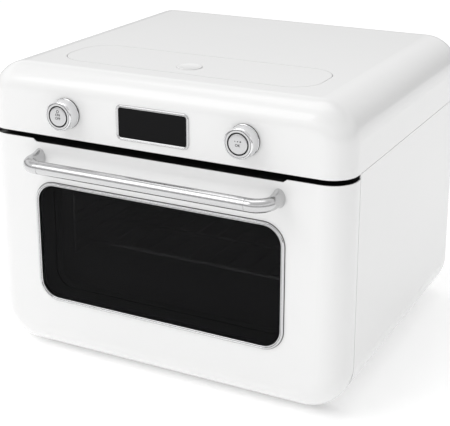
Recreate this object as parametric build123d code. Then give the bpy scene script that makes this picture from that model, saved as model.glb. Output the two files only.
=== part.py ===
from build123d import *
from math import asin, degrees, sqrt
import os

os.makedirs("parts", exist_ok=True)

# Countertop steam oven. Lengths are millimetres.
# The pieces are drawn with x across, y back from the door's face and z up from the body's underside.
# The last lines move them so that the origin is the middle of the footprint, on the counter.

# Body
body_width = 499.0
body_height = 385.0
body_depth = 440.0
half_width = body_width / 2
top_corner_radius = 46.6
bottom_corner_radius = 55.0
front_edge_radius = 33.0
back_edge_radius = 28.0
sheet = 1.5
fit_gap = 0.2
cover_height = 85.0
seam_height = body_height - cover_height
seam_gap = 0.6
foot_height = 8.0
foot_radius = 12.0

# Door
door_depth = 39.0
door_gap = 1.0
door_top = seam_height - 6.7
door_dip = 3.7
dip_half_width = half_width - 78.5
dip_slant = 6.0
skirt_relief = 3.0
hinge_y = 10.0
hinge_z = 48.0
hinge_x = half_width - 31.5
bracket_thickness = 4.0
bracket_arm = 12.0
pin_radius = 3.0
running_gap = 0.05
inner_panel_y = 33.0
inner_panel_sheet = 1.5

# Door window
window_half_width = half_width - 79.2
window_low = 79.6
window_high = door_top - 59.3
window_radius = 24.0
trim_width = 4.5
trim_height = 3.0
glass_lap = 2.2
outer_glass_thickness = 4.0
inner_glass_thickness = 4.0

# Door handle
bar_radius = 8.25
bar_y = -35.0
bar_z = door_top - 23.8
bar_joint = half_width - 107.5
elbow_radius = 20.0
post_foot_height = 24.0
post_foot_width = 17.0

# Control fascia
knob_x = 122.5
knob_z = seam_height + 33.0
knob_base_radius = 19.4
knob_front_radius = 18.5
knob_reach = 18.0
knob_stand_off = 0.5
button_radius = 13.2
groove = 0.9
button_travel = 1.5
sleeve_radius = 6.0
stem_radius = 3.0
display_half_width = 50.0
display_low = seam_height + 10.0
display_high = seam_height + 54.0
display_radius = 5.5
bezel_width = 3.8
bezel_height = 1.8
board_y = 21.0
board_half_width = 150.0
board_thickness = 1.6

# Water tank and its lid
lid_half_width = half_width - 72.0
lid_front = 58.0
lid_back = 157.5
lid_radius = 38.0
lid_gap = 0.7
lid_thickness = 2.0
lid_edge = 0.8
lid_axis_back = 8.0
lid_axis_drop = 5.0
lid_arm_x = 60.0
lid_arm_width = 8.0
lid_arm_inner = 9.6
lid_arm_outer = 13.0
lid_boss_radius = 3.2
lid_rod_radius = 1.5
lid_button_radius = 16.0
lid_button_y = 93.0
lid_button_rise = 1.2
bay_depth = 53.0
bay_wall = 1.5
tank_height = 38.0
tank_wall = 2.0

# Oven cavity
cavity_half_width = half_width - 74.5
cavity_low = 84.0
cavity_high = seam_height - 24.0
cavity_back = body_depth - 55.0
cavity_radius = 15.0
liner_sheet = 1.0
frame_sheet = 1.5
insulation_thickness = 17.0
gasket_width = 4.8
fan_z = (cavity_low + cavity_high) / 2
ring_heater_radius = cavity_high - fan_z - 16.0
fan_radius = ring_heater_radius - 16.0
baffle_y = cavity_back - 35.0
fan_front = baffle_y + 7.0
fan_depth = 18.0
shaft_radius = 3.0
heater_rod_radius = 3.25
motor_radius = 28.0
motor_length = 26.0
rung_radius = 2.0
post_radius = 2.5
rack_front = 78.0
rack_back = baffle_y - 20.0
rung_rises = (29.0, 44.0, 69.0, 84.0, 110.0, 125.0)
rung_heights = [cavity_low + rise for rise in rung_rises]
shelf_rung = 1
shelf_wire_radius = 3.0
shelf_bar_radius = 1.5
shelf_bars = 11
lamp_y = cavity_back - 165.0
lamp_z = cavity_high - 46.0
lamp_radius = 20.0

# Deck above the cavity, and what stands on it
deck_z = seam_height - 3.5
deck_sheet = 1.2
blower_x = -20.0
blower_y = body_depth - 140.0
blower_radius = 52.0
blower_height = 34.0
wheel_radius = 44.0
wheel_height = 24.0
wheel_shaft_radius = 2.0
blower_outlet = lid_back + 60.5
steamer_x = 109.5 - half_width
steamer_y = body_depth - 100.0
pump_x = steamer_x
pump_y = lid_back + 57.5
pump_radius = 17.0
pump_length = 62.0
hose_radius = 4.0
hose_bore = 2.5
screw_radius = 2.0
screw_head_radius = 4.2
screw_head = 2.0

# Worked out from the sizes above
handle_reach = bar_radius - bar_y
gland_reach = 8.0
overall_depth = handle_reach + body_depth + gland_reach
front_y = handle_reach - overall_depth / 2
casing_front = door_depth + door_gap
inner_back = body_depth - sheet
lid_axis_y = lid_back + lid_axis_back
lid_axis_z = body_height - lid_axis_drop
cover_under = body_height - sheet
bay_back = lid_axis_y + lid_arm_outer - 3
bay_front = lid_front - 7
bay_half_width = lid_half_width + 7
bay_floor = cover_under - bay_depth + bay_wall
deck_top = deck_z + deck_sheet
liner_back = cavity_back + liner_sheet
insulation_back = liner_back + fit_gap + insulation_thickness
insulation_side = cavity_half_width + liner_sheet + fit_gap + insulation_thickness
skirt_sweep = sqrt((door_depth - skirt_relief - hinge_y) ** 2 + hinge_z ** 2) + 1.5
apron_y = hinge_y + skirt_sweep + 1.5
frame_low = cavity_low - liner_sheet - gasket_width - 1.2


def block(x, y, z):
    """A box between a pair of limits on each axis."""
    solid = Box(x[1] - x[0], y[1] - y[0], z[1] - z[0])
    return Pos((x[0] + x[1]) / 2, (y[0] + y[1]) / 2, (z[0] + z[1]) / 2) * solid


def rod_x(y, z, radius, x):
    return Pos((x[0] + x[1]) / 2, y, z) * Rot(0, 90, 0) * Cylinder(radius, x[1] - x[0])


def rod_y(x, z, radius, y):
    return Pos(x, (y[0] + y[1]) / 2, z) * Rot(90, 0, 0) * Cylinder(radius, y[1] - y[0])


def rod_z(x, y, radius, z):
    return Pos(x, y, (z[0] + z[1]) / 2) * Cylinder(radius, z[1] - z[0])


def upright_plate(x, z, radius, y):
    """A rounded rectangle seen from the front, with its thickness along y."""
    middle = ((x[0] + x[1]) / 2, y[0], (z[0] + z[1]) / 2)
    plane = Plane(origin=middle, x_dir=(-1, 0, 0), z_dir=(0, 1, 0))
    return extrude(plane * RectangleRounded(x[1] - x[0], z[1] - z[0], radius), amount=y[1] - y[0])


def level_plate(x, y, radius, z):
    """A rounded rectangle seen from above, with its thickness along z."""
    outline = RectangleRounded(x[1] - x[0], y[1] - y[0], radius)
    return Pos((x[0] + x[1]) / 2, (y[0] + y[1]) / 2, z[0]) * extrude(outline, amount=z[1] - z[0])


def side_profile(points, x):
    """A polygon of (y, z) points, with its thickness along x."""
    plane = Plane(origin=(x[0], 0, 0), x_dir=(0, 1, 0), z_dir=(1, 0, 0))
    return extrude(plane * Polygon(*points, align=None), amount=x[1] - x[0])


def turned_y(points, x, z):
    """A profile of (radius, y) points turned about an axis along y."""
    profile = Plane.XY * Polygon(*points, align=None)
    return Pos(x, 0, z) * revolve(profile, axis=Axis.Y)


def tube_path(points, radii, outer, bore):
    """A hose along a route of straight runs and tangent arcs."""
    route = FilletPolyline(*points, radius=radii)
    start = Plane(origin=route @ 0, z_dir=route % 0)
    solid = sweep(start * Circle(outer), path=route)
    if bore:
        solid -= sweep(start * Circle(bore), path=route)
    return solid


def body_form(inset):
    """The oven's outer form, drawn in by an inset."""
    outline = Rectangle(body_width - 2 * inset, body_height - 2 * inset)
    outline = fillet(outline.vertices().group_by(Axis.Y)[-1], top_corner_radius - inset)
    outline = fillet(outline.vertices().group_by(Axis.Y)[0], bottom_corner_radius - inset)
    plane = Plane(origin=(0, inset, body_height / 2), x_dir=(-1, 0, 0), z_dir=(0, 1, 0))
    form = extrude(plane * outline, amount=body_depth - 2 * inset)
    form = fillet(form.faces().sort_by(Axis.Y)[0].edges(), front_edge_radius - inset)
    return fillet(form.faces().sort_by(Axis.Y)[-1].edges(), back_edge_radius - inset)


outer_form = body_form(0)
inner_form = body_form(sheet)
fitted_form = body_form(sheet + fit_gap)
skin = outer_form - inner_form
across = (-half_width - 1, half_width + 1)
panel_x = half_width - back_edge_radius - 4
panel_low = bottom_corner_radius - 5
panel_high = seam_height - seam_gap - 2
panel_sheet = 1.2
gland_x = panel_x - 67.5
gland_z = 90.0
gland_radius = 9.0
foot_x = half_width - bottom_corner_radius - foot_radius - 16
foot_rows = (front_edge_radius + foot_radius + 28, body_depth - back_edge_radius - foot_radius - 3)
foot_places = [(x, y) for x in (-foot_x, foot_x) for y in foot_rows]
pan_half_width = foot_x + foot_radius
pan_rows = (foot_rows[0] + foot_radius + 3, foot_rows[1] - foot_radius - 3)
rear_screw_places = [(x, z) for x in (-panel_x + 6, panel_x - 6) for z in (panel_low + 20, panel_high - 20)]


# Shells

def make_casing():
    """The wrapper: both sides, the underside and the rim of the back."""
    casing = skin & block(across, (casing_front, body_depth), (0, seam_height - seam_gap))
    set_back = block(across, (casing_front - 1, casing_front + 4), (-1, 12))
    back_hole = upright_plate((-panel_x + 12, panel_x - 12), (panel_low + 10, panel_high - 10), 8,
                              (inner_back - 1, body_depth + 1))
    pan_hole = level_plate((-pan_half_width + 12, pan_half_width - 12),
                           (pan_rows[0] + 10, pan_rows[1] - 10), 15, (-1, sheet + 1))
    casing = casing - set_back - back_hole - pan_hole
    for x, y in foot_places:
        casing -= rod_z(x, y, screw_radius + running_gap, (-1, sheet + 1))
    for x, z in rear_screw_places:
        casing -= rod_y(x, z, screw_radius + running_gap, (inner_back - 1, body_depth + 1))
    return casing


def make_top_cover():
    """The lid-shaped cover with the control fascia, the tank opening and four board posts."""
    cover = skin & block(across, (0, body_depth), (seam_height, body_height))
    lip = inner_form & block(across, (sheet, sheet + 10), (seam_height, seam_height + sheet))
    cover += lip
    cover -= level_plate((-lid_half_width, lid_half_width), (lid_front, lid_back), lid_radius,
                         (cover_under - 1, body_height + 1))
    cover -= upright_plate((-display_half_width + 1.5, display_half_width - 1.5),
                           (display_low + 1.5, display_high - 1.5), display_radius - 1.5, (-1, sheet + 1))
    for x in (-knob_x, knob_x):
        cover -= rod_y(x, knob_z, sleeve_radius + 1, (-1, sheet + 1))
    for x in (-board_half_width + 6, board_half_width - 6):
        for z in (display_low + 2, display_high - 8):
            cover += rod_y(x, z, 3, (sheet, board_y))
    return cover


def make_rear_panel():
    """The plate behind the working parts, with two banks of air slots."""
    panel = upright_plate((-panel_x, panel_x), (panel_low, panel_high), 6,
                          (inner_back - panel_sheet, inner_back))
    slot_length = 60.0
    slot_width = 5.0
    slot_pitch = 14.0
    slots_per_bank = 9
    for side in (-1, 1):
        for row in range(slots_per_bank):
            z = panel_high - 142.4 + row * slot_pitch
            middle = side * panel_x / 2
            panel -= upright_plate((middle - slot_length / 2, middle + slot_length / 2),
                                   (z, z + slot_width), slot_width / 2 - 0.1,
                                   (inner_back - panel_sheet - 1, inner_back + 1))
    panel -= rod_y(gland_x, gland_z, gland_radius + fit_gap, (inner_back - panel_sheet - 1, inner_back + 1))
    for x, z in rear_screw_places:
        panel -= rod_y(x, z, screw_radius + running_gap, (inner_back - panel_sheet - 1, inner_back + 1))
    return panel


def make_base_pan():
    """The plate over the hole in the underside, with a row of air slots."""
    pan = level_plate((-pan_half_width, pan_half_width), pan_rows, 15, (sheet, sheet + panel_sheet))
    slot_count = 8
    slot_pitch = (pan_rows[1] - pan_rows[0] - 60) / (slot_count - 1)
    for index in range(slot_count):
        y = pan_rows[0] + 30 + index * slot_pitch
        pan -= level_plate((-60, 60), (y - 2.5, y + 2.5), 2.4, (sheet - 1, sheet + panel_sheet + 1))
    return pan


def make_feet():
    """Four rubber feet, each with a spigot pushed up through the casing."""
    feet = []
    for x, y in foot_places:
        foot = Pos(x, y, -foot_height) * extrude(Circle(foot_radius), amount=foot_height)
        foot = chamfer(foot.faces().sort_by(Axis.Z)[0].edges(), 1.5)
        feet.append(foot + rod_z(x, y, screw_radius, (-1, sheet + 3)))
    return Compound(feet)


def make_cord_gland():
    """The bush in the rear panel that the supply lead comes out of."""
    gland = rod_y(gland_x, gland_z, gland_radius, (inner_back - panel_sheet - 6, inner_back + 1))
    gland += rod_y(gland_x, gland_z, gland_radius + 3, (inner_back, body_depth + 1))
    gland += rod_y(gland_x, gland_z, gland_radius - 2, (body_depth, body_depth + gland_reach))
    return gland - rod_y(gland_x, gland_z, 3.8, (inner_back - panel_sheet - 7, body_depth + gland_reach + 1))


def make_rear_screws():
    screws = []
    for x, z in rear_screw_places:
        head = rod_y(x, z, screw_head_radius, (body_depth, body_depth + screw_head))
        screws.append(head + rod_y(x, z, screw_radius, (inner_back - panel_sheet - 4, body_depth + 0.5)))
    return Compound(screws)


# Oven cavity

cavity_x = (-cavity_half_width, cavity_half_width)
cavity_z = (cavity_low, cavity_high)


def grown(limits, amount):
    return (limits[0] - amount, limits[1] + amount)


def make_front_frame():
    """The plate round the cavity's mouth, with a ledge and an apron behind the door's skirt."""
    slab = block(across, (casing_front, casing_front + frame_sheet), (frame_low, seam_height - seam_gap))
    frame = fitted_form & slab
    frame -= upright_plate(grown(cavity_x, liner_sheet + fit_gap), grown(cavity_z, liner_sheet + fit_gap),
                           cavity_radius + liner_sheet, (casing_front - 1, casing_front + frame_sheet + 1))
    apron_half = half_width - bottom_corner_radius
    frame += block((-apron_half, apron_half), (casing_front, apron_y + frame_sheet),
                   (frame_low, frame_low + frame_sheet))
    frame += block((-apron_half, apron_half), (apron_y, apron_y + frame_sheet), (sheet, frame_low + frame_sheet))
    for side in (-1, 1):
        slot = sorted((side * (hinge_x - bracket_thickness / 2 - 1), side * (hinge_x + bracket_thickness / 2 + 1)))
        frame -= block(slot, (casing_front - 1, casing_front + frame_sheet + 1), arm_rows(1))
    return frame


def arm_rows(margin):
    """The height of the hinge bracket's arm where it passes through the front frame."""
    low = frame_low + frame_sheet + 2
    return (low - margin, low + bracket_arm + margin)


def make_cavity_liner():
    """The steel box that food goes in, open at the front."""
    liner = upright_plate(grown(cavity_x, liner_sheet), grown(cavity_z, liner_sheet),
                          cavity_radius + liner_sheet, (casing_front, liner_back))
    liner -= upright_plate(cavity_x, cavity_z, cavity_radius, (casing_front - 1, cavity_back))
    back_wall = (cavity_back - 1, liner_back + 1)
    liner -= rod_y(0, fan_z, shaft_radius + 4, back_wall)
    for x, z in heater_terminals + grill_terminals:
        liner -= rod_y(x, z, heater_rod_radius + fit_gap, back_wall)
    liner -= rod_y(probe_x, probe_z, probe_radius + fit_gap, back_wall)
    side_wall = (cavity_half_width - 1, cavity_half_width + liner_sheet + 1)
    liner -= rod_x(lamp_y, lamp_z, lamp_radius, side_wall)
    liner -= rod_z(steam_inlet[0], steam_inlet[1], hose_radius + fit_gap, (cavity_high - 1, cavity_high + 3))
    return liner


def make_insulation():
    """The fibre blanket round the liner, left open at the front and for what passes through."""
    start = casing_front + frame_sheet + fit_gap
    clear = liner_sheet + fit_gap
    blanket = upright_plate(grown(cavity_x, clear + insulation_thickness),
                            grown(cavity_z, clear + insulation_thickness),
                            cavity_radius + clear + insulation_thickness, (start, insulation_back))
    blanket -= upright_plate(grown(cavity_x, clear), grown(cavity_z, clear), cavity_radius + clear,
                             (start - 1, liner_back + fit_gap))
    blanket -= block(across, (start - 1, apron_y + frame_sheet + 1), (0, frame_low + frame_sheet + 1))
    back_layer = (liner_back - 1, insulation_back + 1)
    blanket -= rod_y(0, fan_z, motor_radius + 14, back_layer)
    for x, z in heater_terminals + grill_terminals:
        blanket -= rod_y(x, z, heater_rod_radius + 1, back_layer)
    blanket -= rod_y(probe_x, probe_z, probe_radius + 5, back_layer)
    side_layer = (cavity_half_width + 1, insulation_side + 1)
    blanket -= rod_x(lamp_y, lamp_z, lamp_radius + 4, side_layer)
    roof_layer = (cavity_high, deck_z)
    blanket -= block(across, (start - 1, insulation_back + 1), (deck_z - fit_gap, body_height))
    blanket -= rod_z(steam_inlet[0], steam_inlet[1], hose_radius + 1, roof_layer)
    for side in (-1, 1):
        blanket -= block(rail_x(side, 1), (start - 1, insulation_back + 1), (0, cavity_low - liner_sheet))
    return blanket


def rail_x(side, margin):
    """A cavity rail's width, with a margin each side."""
    middle = side * cavity_half_width * 0.7
    return (middle - 11 - margin, middle + 11 + margin)


def make_cavity_rails():
    """Two channels that carry the liner on the underside of the casing."""
    rails = []
    for side in (-1, 1):
        rows = (apron_y + frame_sheet + 3, liner_back - 10)
        x = rail_x(side, 0)
        solid = block(x, rows, (sheet + panel_sheet, cavity_low - liner_sheet))
        solid -= block((x[0] + 2, x[1] - 2), (rows[0] - 1, rows[1] + 1),
                       (sheet + panel_sheet + 2, cavity_low - liner_sheet - 2))
        rails.append(solid)
    return Compound(rails)


def make_door_gasket():
    """The seal ring on the front frame that the door's inner panel presses on."""
    rows = (inner_panel_y + inner_panel_sheet + 0.3, casing_front)
    inside = liner_sheet + 0.4
    ring = upright_plate(grown(cavity_x, inside + gasket_width), grown(cavity_z, inside + gasket_width),
                         cavity_radius + inside + gasket_width, rows)
    ring -= upright_plate(grown(cavity_x, inside), grown(cavity_z, inside), cavity_radius + inside,
                          (rows[0] - 1, rows[1] + 1))
    return chamfer(ring.faces().sort_by(Axis.Y)[0].edges(), 1)


terminal_half_gap = 10.0
terminal_z = fan_z - sqrt(ring_heater_radius ** 2 - terminal_half_gap ** 2)
heater_terminals = [(-terminal_half_gap, terminal_z), (terminal_half_gap, terminal_z)]
grill_z = cavity_high - 9
grill_half_width = cavity_half_width - 25
grill_terminals = [(-grill_half_width / 5, grill_z), (grill_half_width / 5, grill_z)]
probe_x = -cavity_half_width + 40
probe_z = cavity_high - 34
probe_radius = 2.5
steam_inlet = (steamer_x, (pump_y + steamer_y) / 2 - 2.5)


def make_fan_baffle():
    """The plate in front of the fan, on four legs from the back wall, with slots for the air."""
    plate = upright_plate(grown(cavity_x, -10), (cavity_low + 8, cavity_high - 22), 10,
                          (baffle_y, baffle_y + liner_sheet))
    ring_slots = 12
    slot_reach = (14.0, fan_radius - 16.0)
    for index in range(ring_slots):
        bar = block(slot_reach, (baffle_y - 1, baffle_y + liner_sheet + 1), (-2.5, 2.5))
        plate -= Pos(0, 0, fan_z) * Rot(0, 360 / ring_slots * index, 0) * bar
    side_slots = 7
    side_pitch = (cavity_high - cavity_low - 52) / side_slots
    for side in (-1, 1):
        x = side * (cavity_half_width - 26)
        for index in range(side_slots):
            z = cavity_low + 24 + index * side_pitch
            plate -= upright_plate((x - 7, x + 7), (z, z + 5), 2.4, (baffle_y - 1, baffle_y + liner_sheet + 1))
    plate -= rod_y(probe_x, probe_z, probe_radius + 1, (baffle_y - 1, baffle_y + liner_sheet + 1))
    for x in (-cavity_half_width + 22, cavity_half_width - 22):
        for z in (cavity_low + 16, cavity_high - 30):
            if x > 0 or z < fan_z:
                plate += rod_y(x, z, 3, (baffle_y, cavity_back))
    plate += rod_y(-cavity_half_width + 22, cavity_high - 52, 3, (baffle_y, cavity_back))
    return plate


def make_ring_heater():
    """The round element about the fan, on two leads that pass through the back wall."""
    y = fan_front + fan_depth / 2
    opening = degrees(asin(heater_terminals[1][0] / ring_heater_radius))
    section = Plane(origin=(ring_heater_radius, 0, 0), z_dir=(0, 0, 1)) * Circle(heater_rod_radius)
    ring = revolve(section, axis=Axis.Y, revolution_arc=360 - 2 * opening)
    ring = Pos(0, y, fan_z) * Rot(0, 90 - opening, 0) * ring
    for x, z in heater_terminals:
        ring += Pos(x, y, z) * Sphere(heater_rod_radius + 0.3)
        ring += rod_y(x, z, heater_rod_radius, (y, liner_back + insulation_thickness))
    return ring


def make_grill_element():
    """The roof element: one rod bent into four legs, with both ends through the back wall."""
    front = casing_front + 45
    back = baffle_y - 25
    wide = grill_half_width
    narrow = grill_half_width / 5
    end = liner_back + insulation_thickness
    points = [(-narrow, end, grill_z), (-narrow, front, grill_z), (-wide, front, grill_z),
              (-wide, back, grill_z), (-narrow * 3, back, grill_z), (-narrow * 3, front + 60, grill_z)]
    points += [(-x, y, z) for x, y, z in reversed(points)]
    return tube_path(points, 16, heater_rod_radius, 0)


def make_convection_fan():
    """The stamped fan wheel and its shaft."""
    blades = 10
    blade_reach = (18.0, fan_radius - 0.5)
    disc_y = (fan_front + fan_depth - 1.5, fan_front + fan_depth)
    fan = rod_y(0, fan_z, fan_radius, disc_y)
    fan += rod_y(0, fan_z, 9, (fan_front + 3, fan_front + fan_depth))
    for index in range(blades):
        blade = block(blade_reach, (fan_front, fan_front + fan_depth - 1), (-0.8, 0.8))
        fan += Pos(0, 0, fan_z) * Rot(0, 360 / blades * index, 0) * blade
    return fan + rod_y(0, fan_z, shaft_radius, (fan_front + 1, insulation_back + 10))


def make_fan_motor():
    """The motor behind the insulation, on a plate with four legs to the liner's back wall."""
    plate_rows = (insulation_back + 0.3, insulation_back + 2.3)
    leg_reach = motor_radius + 6
    motor = rod_y(0, fan_z, motor_radius, (plate_rows[0], plate_rows[0] + motor_length))
    motor += block((-leg_reach, leg_reach), plate_rows, (fan_z - 12, fan_z + 12))
    for x in (-leg_reach + 3, leg_reach - 3):
        for z in (fan_z - 8, fan_z + 8):
            motor += rod_y(x, z, 3, (liner_back, plate_rows[1]))
    bore = shaft_radius + running_gap
    return motor - rod_y(0, fan_z, bore, (plate_rows[0] - 1, plate_rows[0] + motor_length - 4))


rack_wall = cavity_half_width - 0.2
rack_post_x = rack_wall - 1.3 - post_radius
rung_x = rack_post_x - post_radius - rung_radius + 0.5


def make_shelf_rack(side):
    """A ladder of rungs on one side wall, for the shelf to slide on."""
    low = rung_heights[0] - 15
    high = rung_heights[-1] + 13
    rack = None
    for y in (rack_front, rack_back):
        post = rod_z(side * rack_post_x, y, post_radius, (low, high))
        rack = post if rack is None else rack + post
        for z in (low + 5, high - 5):
            rack += rod_x(y, z, 2, sorted((side * rack_post_x, side * rack_wall)))
    for z in rung_heights:
        rack += rod_y(side * rung_x, z, rung_radius, (rack_front - 6, rack_back + 8))
    return rack


def make_wire_shelf():
    """The sliding wire shelf, on the second rungs from below."""
    side_x = rung_x - 3
    drop = sqrt((rung_radius + shelf_wire_radius) ** 2 - (rung_x - side_x) ** 2)
    z = rung_heights[shelf_rung] + drop + 0.1
    rows = (rack_front + 2, baffle_y - 8)
    corner = 12
    points = [(-side_x, rows[0], z), (side_x, rows[0], z), (side_x, rows[1], z), (-side_x, rows[1], z)]
    loop = FilletPolyline(*points, radius=corner, close=True)
    shelf = sweep(Plane(origin=loop @ 0, z_dir=loop % 0) * Circle(shelf_wire_radius), path=loop)
    pitch = 2 * (side_x - 20) / (shelf_bars - 1)
    for index in range(shelf_bars):
        shelf += rod_y(-side_x + 20 + index * pitch, z, shelf_bar_radius, rows)
    for y in (rows[0] + 90, rows[1] - 90):
        shelf += rod_x(y, z - 2.5, 2, (-side_x, side_x))
    return shelf


def make_lamp_lens():
    """The glass over the lamp, let into the right wall."""
    wall = cavity_half_width
    lens = rod_x(lamp_y, lamp_z, lamp_radius - fit_gap, (wall - 0.5, wall + 5))
    return lens + rod_x(lamp_y, lamp_z, lamp_radius + 4, (wall - 3, wall))


def make_lamp_holder():
    """The cup with the lamp's socket, on the outside of the right wall."""
    outside = cavity_half_width + liner_sheet
    holder = rod_x(lamp_y, lamp_z, lamp_radius + 3, (outside, outside + 32))
    holder -= rod_x(lamp_y, lamp_z, lamp_radius + 1, (outside - 1, outside + 22))
    return holder + rod_x(lamp_y, lamp_z, 7, (outside + 8, outside + 24))


def make_temperature_probe():
    probe = rod_y(probe_x, probe_z, probe_radius, (baffle_y - 12, insulation_back + 6))
    return probe + rod_y(probe_x, probe_z, probe_radius + 4, (liner_back, liner_back + 2))


# Door

door_body = outer_form & block(across, (0, door_depth), (0, door_top))
window_x = (-window_half_width, window_half_width)
window_z = (window_low, window_high)
hinge_slot = (hinge_z - bracket_arm / 2 - 3, arm_rows(0)[1] + 7)


def post_places():
    return (-bar_joint - 4 - elbow_radius, bar_joint + 4 + elbow_radius)


def make_door_shell():
    """The painted front: a deep tray with the window opening, dipped along its top edge."""
    door = door_body - inner_form
    dip = [(-dip_half_width - dip_slant, door_top + 1), (-dip_half_width, door_top - door_dip),
           (dip_half_width, door_top - door_dip), (dip_half_width + dip_slant, door_top + 1)]
    plane = Plane(origin=(0, -1, 0), x_dir=(1, 0, 0), z_dir=(0, -1, 0))
    door -= extrude(plane * Polygon(*dip, align=None), amount=-door_depth - 2)
    relief = door_depth - skirt_relief
    rise = hinge_z - 2
    door -= side_profile([(relief, -1), (door_depth + 1, -1), (door_depth + 1, rise + skirt_relief + 1),
                          (relief, rise)], across)
    hole = glass_lap + 0.3
    door -= upright_plate(grown(window_x, hole), grown(window_z, hole), window_radius + hole, (-1, sheet + 1))
    for x in post_places():
        door -= rod_y(x, bar_z, screw_radius + running_gap, (-1, sheet + 1))
    return door


def make_door_inner_panel():
    """The door's steel back, with the hinge slots, the lugs and a frame for the inner glass."""
    rows = (inner_panel_y, inner_panel_y + inner_panel_sheet)
    panel = fitted_form & block(across, rows, (0, door_top - door_dip - 2))
    panel -= upright_plate(grown(window_x, -12), grown(window_z, -8), window_radius - 8,
                           (rows[0] - 1, rows[1] + 1))
    for side in (-1, 1):
        slot = sorted((side * (hinge_x - bracket_thickness / 2 - 1.5), side * (hinge_x + bracket_thickness / 2 + 1.5)))
        panel -= block(slot, (rows[0] - 1, rows[1] + 1), hinge_slot)
        near = hinge_x - bracket_thickness / 2 - 1
        lug = sorted((side * (near - 4), side * near))
        panel += block(lug, (hinge_y, rows[0] + 0.5), (hinge_z - 7, hinge_z + 7))
        panel += rod_x(hinge_y, hinge_z, 7, lug)
        panel -= rod_x(hinge_y, hinge_z, pin_radius + running_gap, (lug[0] - 1, lug[1] + 1))
    spacer = (outer_glass_thickness, inner_panel_y + 0.5)
    frame = upright_plate(grown(window_x, glass_lap), grown(window_z, glass_lap), window_radius + glass_lap, spacer)
    frame -= upright_plate(grown(window_x, -1), grown(window_z, -1), window_radius - 1,
                           (spacer[0] - 1, spacer[1] + 1))
    return panel + frame


def make_door_top_cap():
    """The dark strip that closes the door's hollow below its top edge."""
    high = door_top - door_dip - 0.6
    return fitted_form & block(across, (sheet, door_depth - 0.5), (high - 1.3, high))


def make_outer_glass():
    return upright_plate(grown(window_x, glass_lap), grown(window_z, glass_lap), window_radius + glass_lap,
                         (0, outer_glass_thickness))


def make_inner_glass():
    rows = (inner_panel_y - inner_glass_thickness, inner_panel_y)
    return upright_plate(grown(window_x, -1.2), grown(window_z, -1.2), window_radius - 1.2, rows)


def make_window_trim():
    """The bright ring that holds the outer glass in the door's face."""
    ring = upright_plate(grown(window_x, trim_width), grown(window_z, trim_width), window_radius + trim_width,
                         (-trim_height, 0))
    ring = fillet(ring.faces().sort_by(Axis.Y)[0].edges(), trim_height * 0.4)
    return ring - upright_plate(window_x, window_z, window_radius, (-trim_height - 1, 1))


def make_handle_bar():
    bar = rod_x(bar_y, bar_z, bar_radius, (-bar_joint, bar_joint))
    return bar - rod_x(bar_y, bar_z, bar_radius - 2, (-bar_joint - 1, bar_joint + 1))


def make_handle_end(side):
    """An elbow that carries the bar and flares into a post on the door's face."""
    corner_x = side * (bar_joint + 4)
    corner_y = bar_y + elbow_radius
    post_x = corner_x + side * elbow_radius
    end = rod_x(bar_y, bar_z, bar_radius, sorted((side * bar_joint, corner_x)))
    section = Plane(origin=(corner_x, bar_y, bar_z), z_dir=(side, 0, 0)) * Circle(bar_radius)
    turn = Axis((corner_x, corner_y, bar_z), (0, 0, side))
    end += revolve(section, axis=turn, revolution_arc=90)
    neck = Plane(origin=(post_x, corner_y, bar_z), x_dir=(1, 0, 0), z_dir=(0, 1, 0)) * Circle(bar_radius)
    foot = Plane(origin=(post_x, 0, bar_z), x_dir=(1, 0, 0), z_dir=(0, 1, 0))
    foot *= Ellipse(post_foot_width / 2, post_foot_height / 2)
    end += loft([neck, foot])
    return end - rod_y(post_x, bar_z, screw_radius + running_gap, (corner_y + 2, 1))


def make_handle_ends():
    return Compound([make_handle_end(-1), make_handle_end(1)])


def make_handle_screws():
    """The screws that hold the posts from inside the door."""
    screws = []
    for x in post_places():
        shank = rod_y(x, bar_z, screw_radius, (bar_y + elbow_radius + 3, sheet + 1))
        screws.append(shank + rod_y(x, bar_z, screw_head_radius, (sheet, sheet + screw_head)))
    return Compound(screws)


def make_hinge_bracket(side):
    """A crank from the front frame to the hinge pin, cut back at its toe to clear the door's face."""
    low, high = arm_rows(0)
    half = bracket_arm / 2
    foot_y = casing_front + frame_sheet + 2
    outline = [(hinge_y - half, hinge_z), (hinge_y - half / 2, hinge_z - half), (hinge_y + half, hinge_z - half),
               (hinge_y + half, low), (foot_y, low), (foot_y, high), (hinge_y - half, high)]
    x = sorted((side * (hinge_x - bracket_thickness / 2), side * (hinge_x + bracket_thickness / 2)))
    bracket = side_profile(outline, x)
    bracket += block(grown(x, 7), (casing_front + frame_sheet, foot_y), (low - 2, high + 20))
    return bracket - rod_x(hinge_y, hinge_z, pin_radius, (x[0] - 1, x[1] + 1))


def make_hinge_pins():
    pins = []
    for side in (-1, 1):
        outer = hinge_x + bracket_thickness / 2
        near = hinge_x - bracket_thickness / 2 - 7
        pins.append(rod_x(hinge_y, hinge_z, pin_radius, sorted((side * near, side * outer))))
    return Compound(pins)


# Controls

def make_knob(side):
    """The bright ring of a knob, which turns about the still button in its middle."""
    face = -knob_reach
    recess = face + 4.5
    seat = button_radius + groove
    bore = sleeve_radius + running_gap
    back = -knob_stand_off
    profile = [(bore, back), (knob_base_radius, back), (knob_base_radius, back - 1.2),
               (knob_front_radius, face + 1.5), (knob_front_radius - 1.5, face), (seat, face),
               (seat, recess), (bore, recess)]
    return turned_y(profile, side * knob_x, knob_z)


def make_button(side):
    """The button in the middle of a knob, on a stem that slides in the encoder's sleeve."""
    x = side * knob_x
    button = rod_y(x, knob_z, button_radius, (-knob_reach - 0.4, -knob_reach + 2))
    button = chamfer(button.faces().sort_by(Axis.Y)[0].edges(), 0.4)
    return button + rod_y(x, knob_z, stem_radius, (-knob_reach + 1, board_y - 12))


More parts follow.
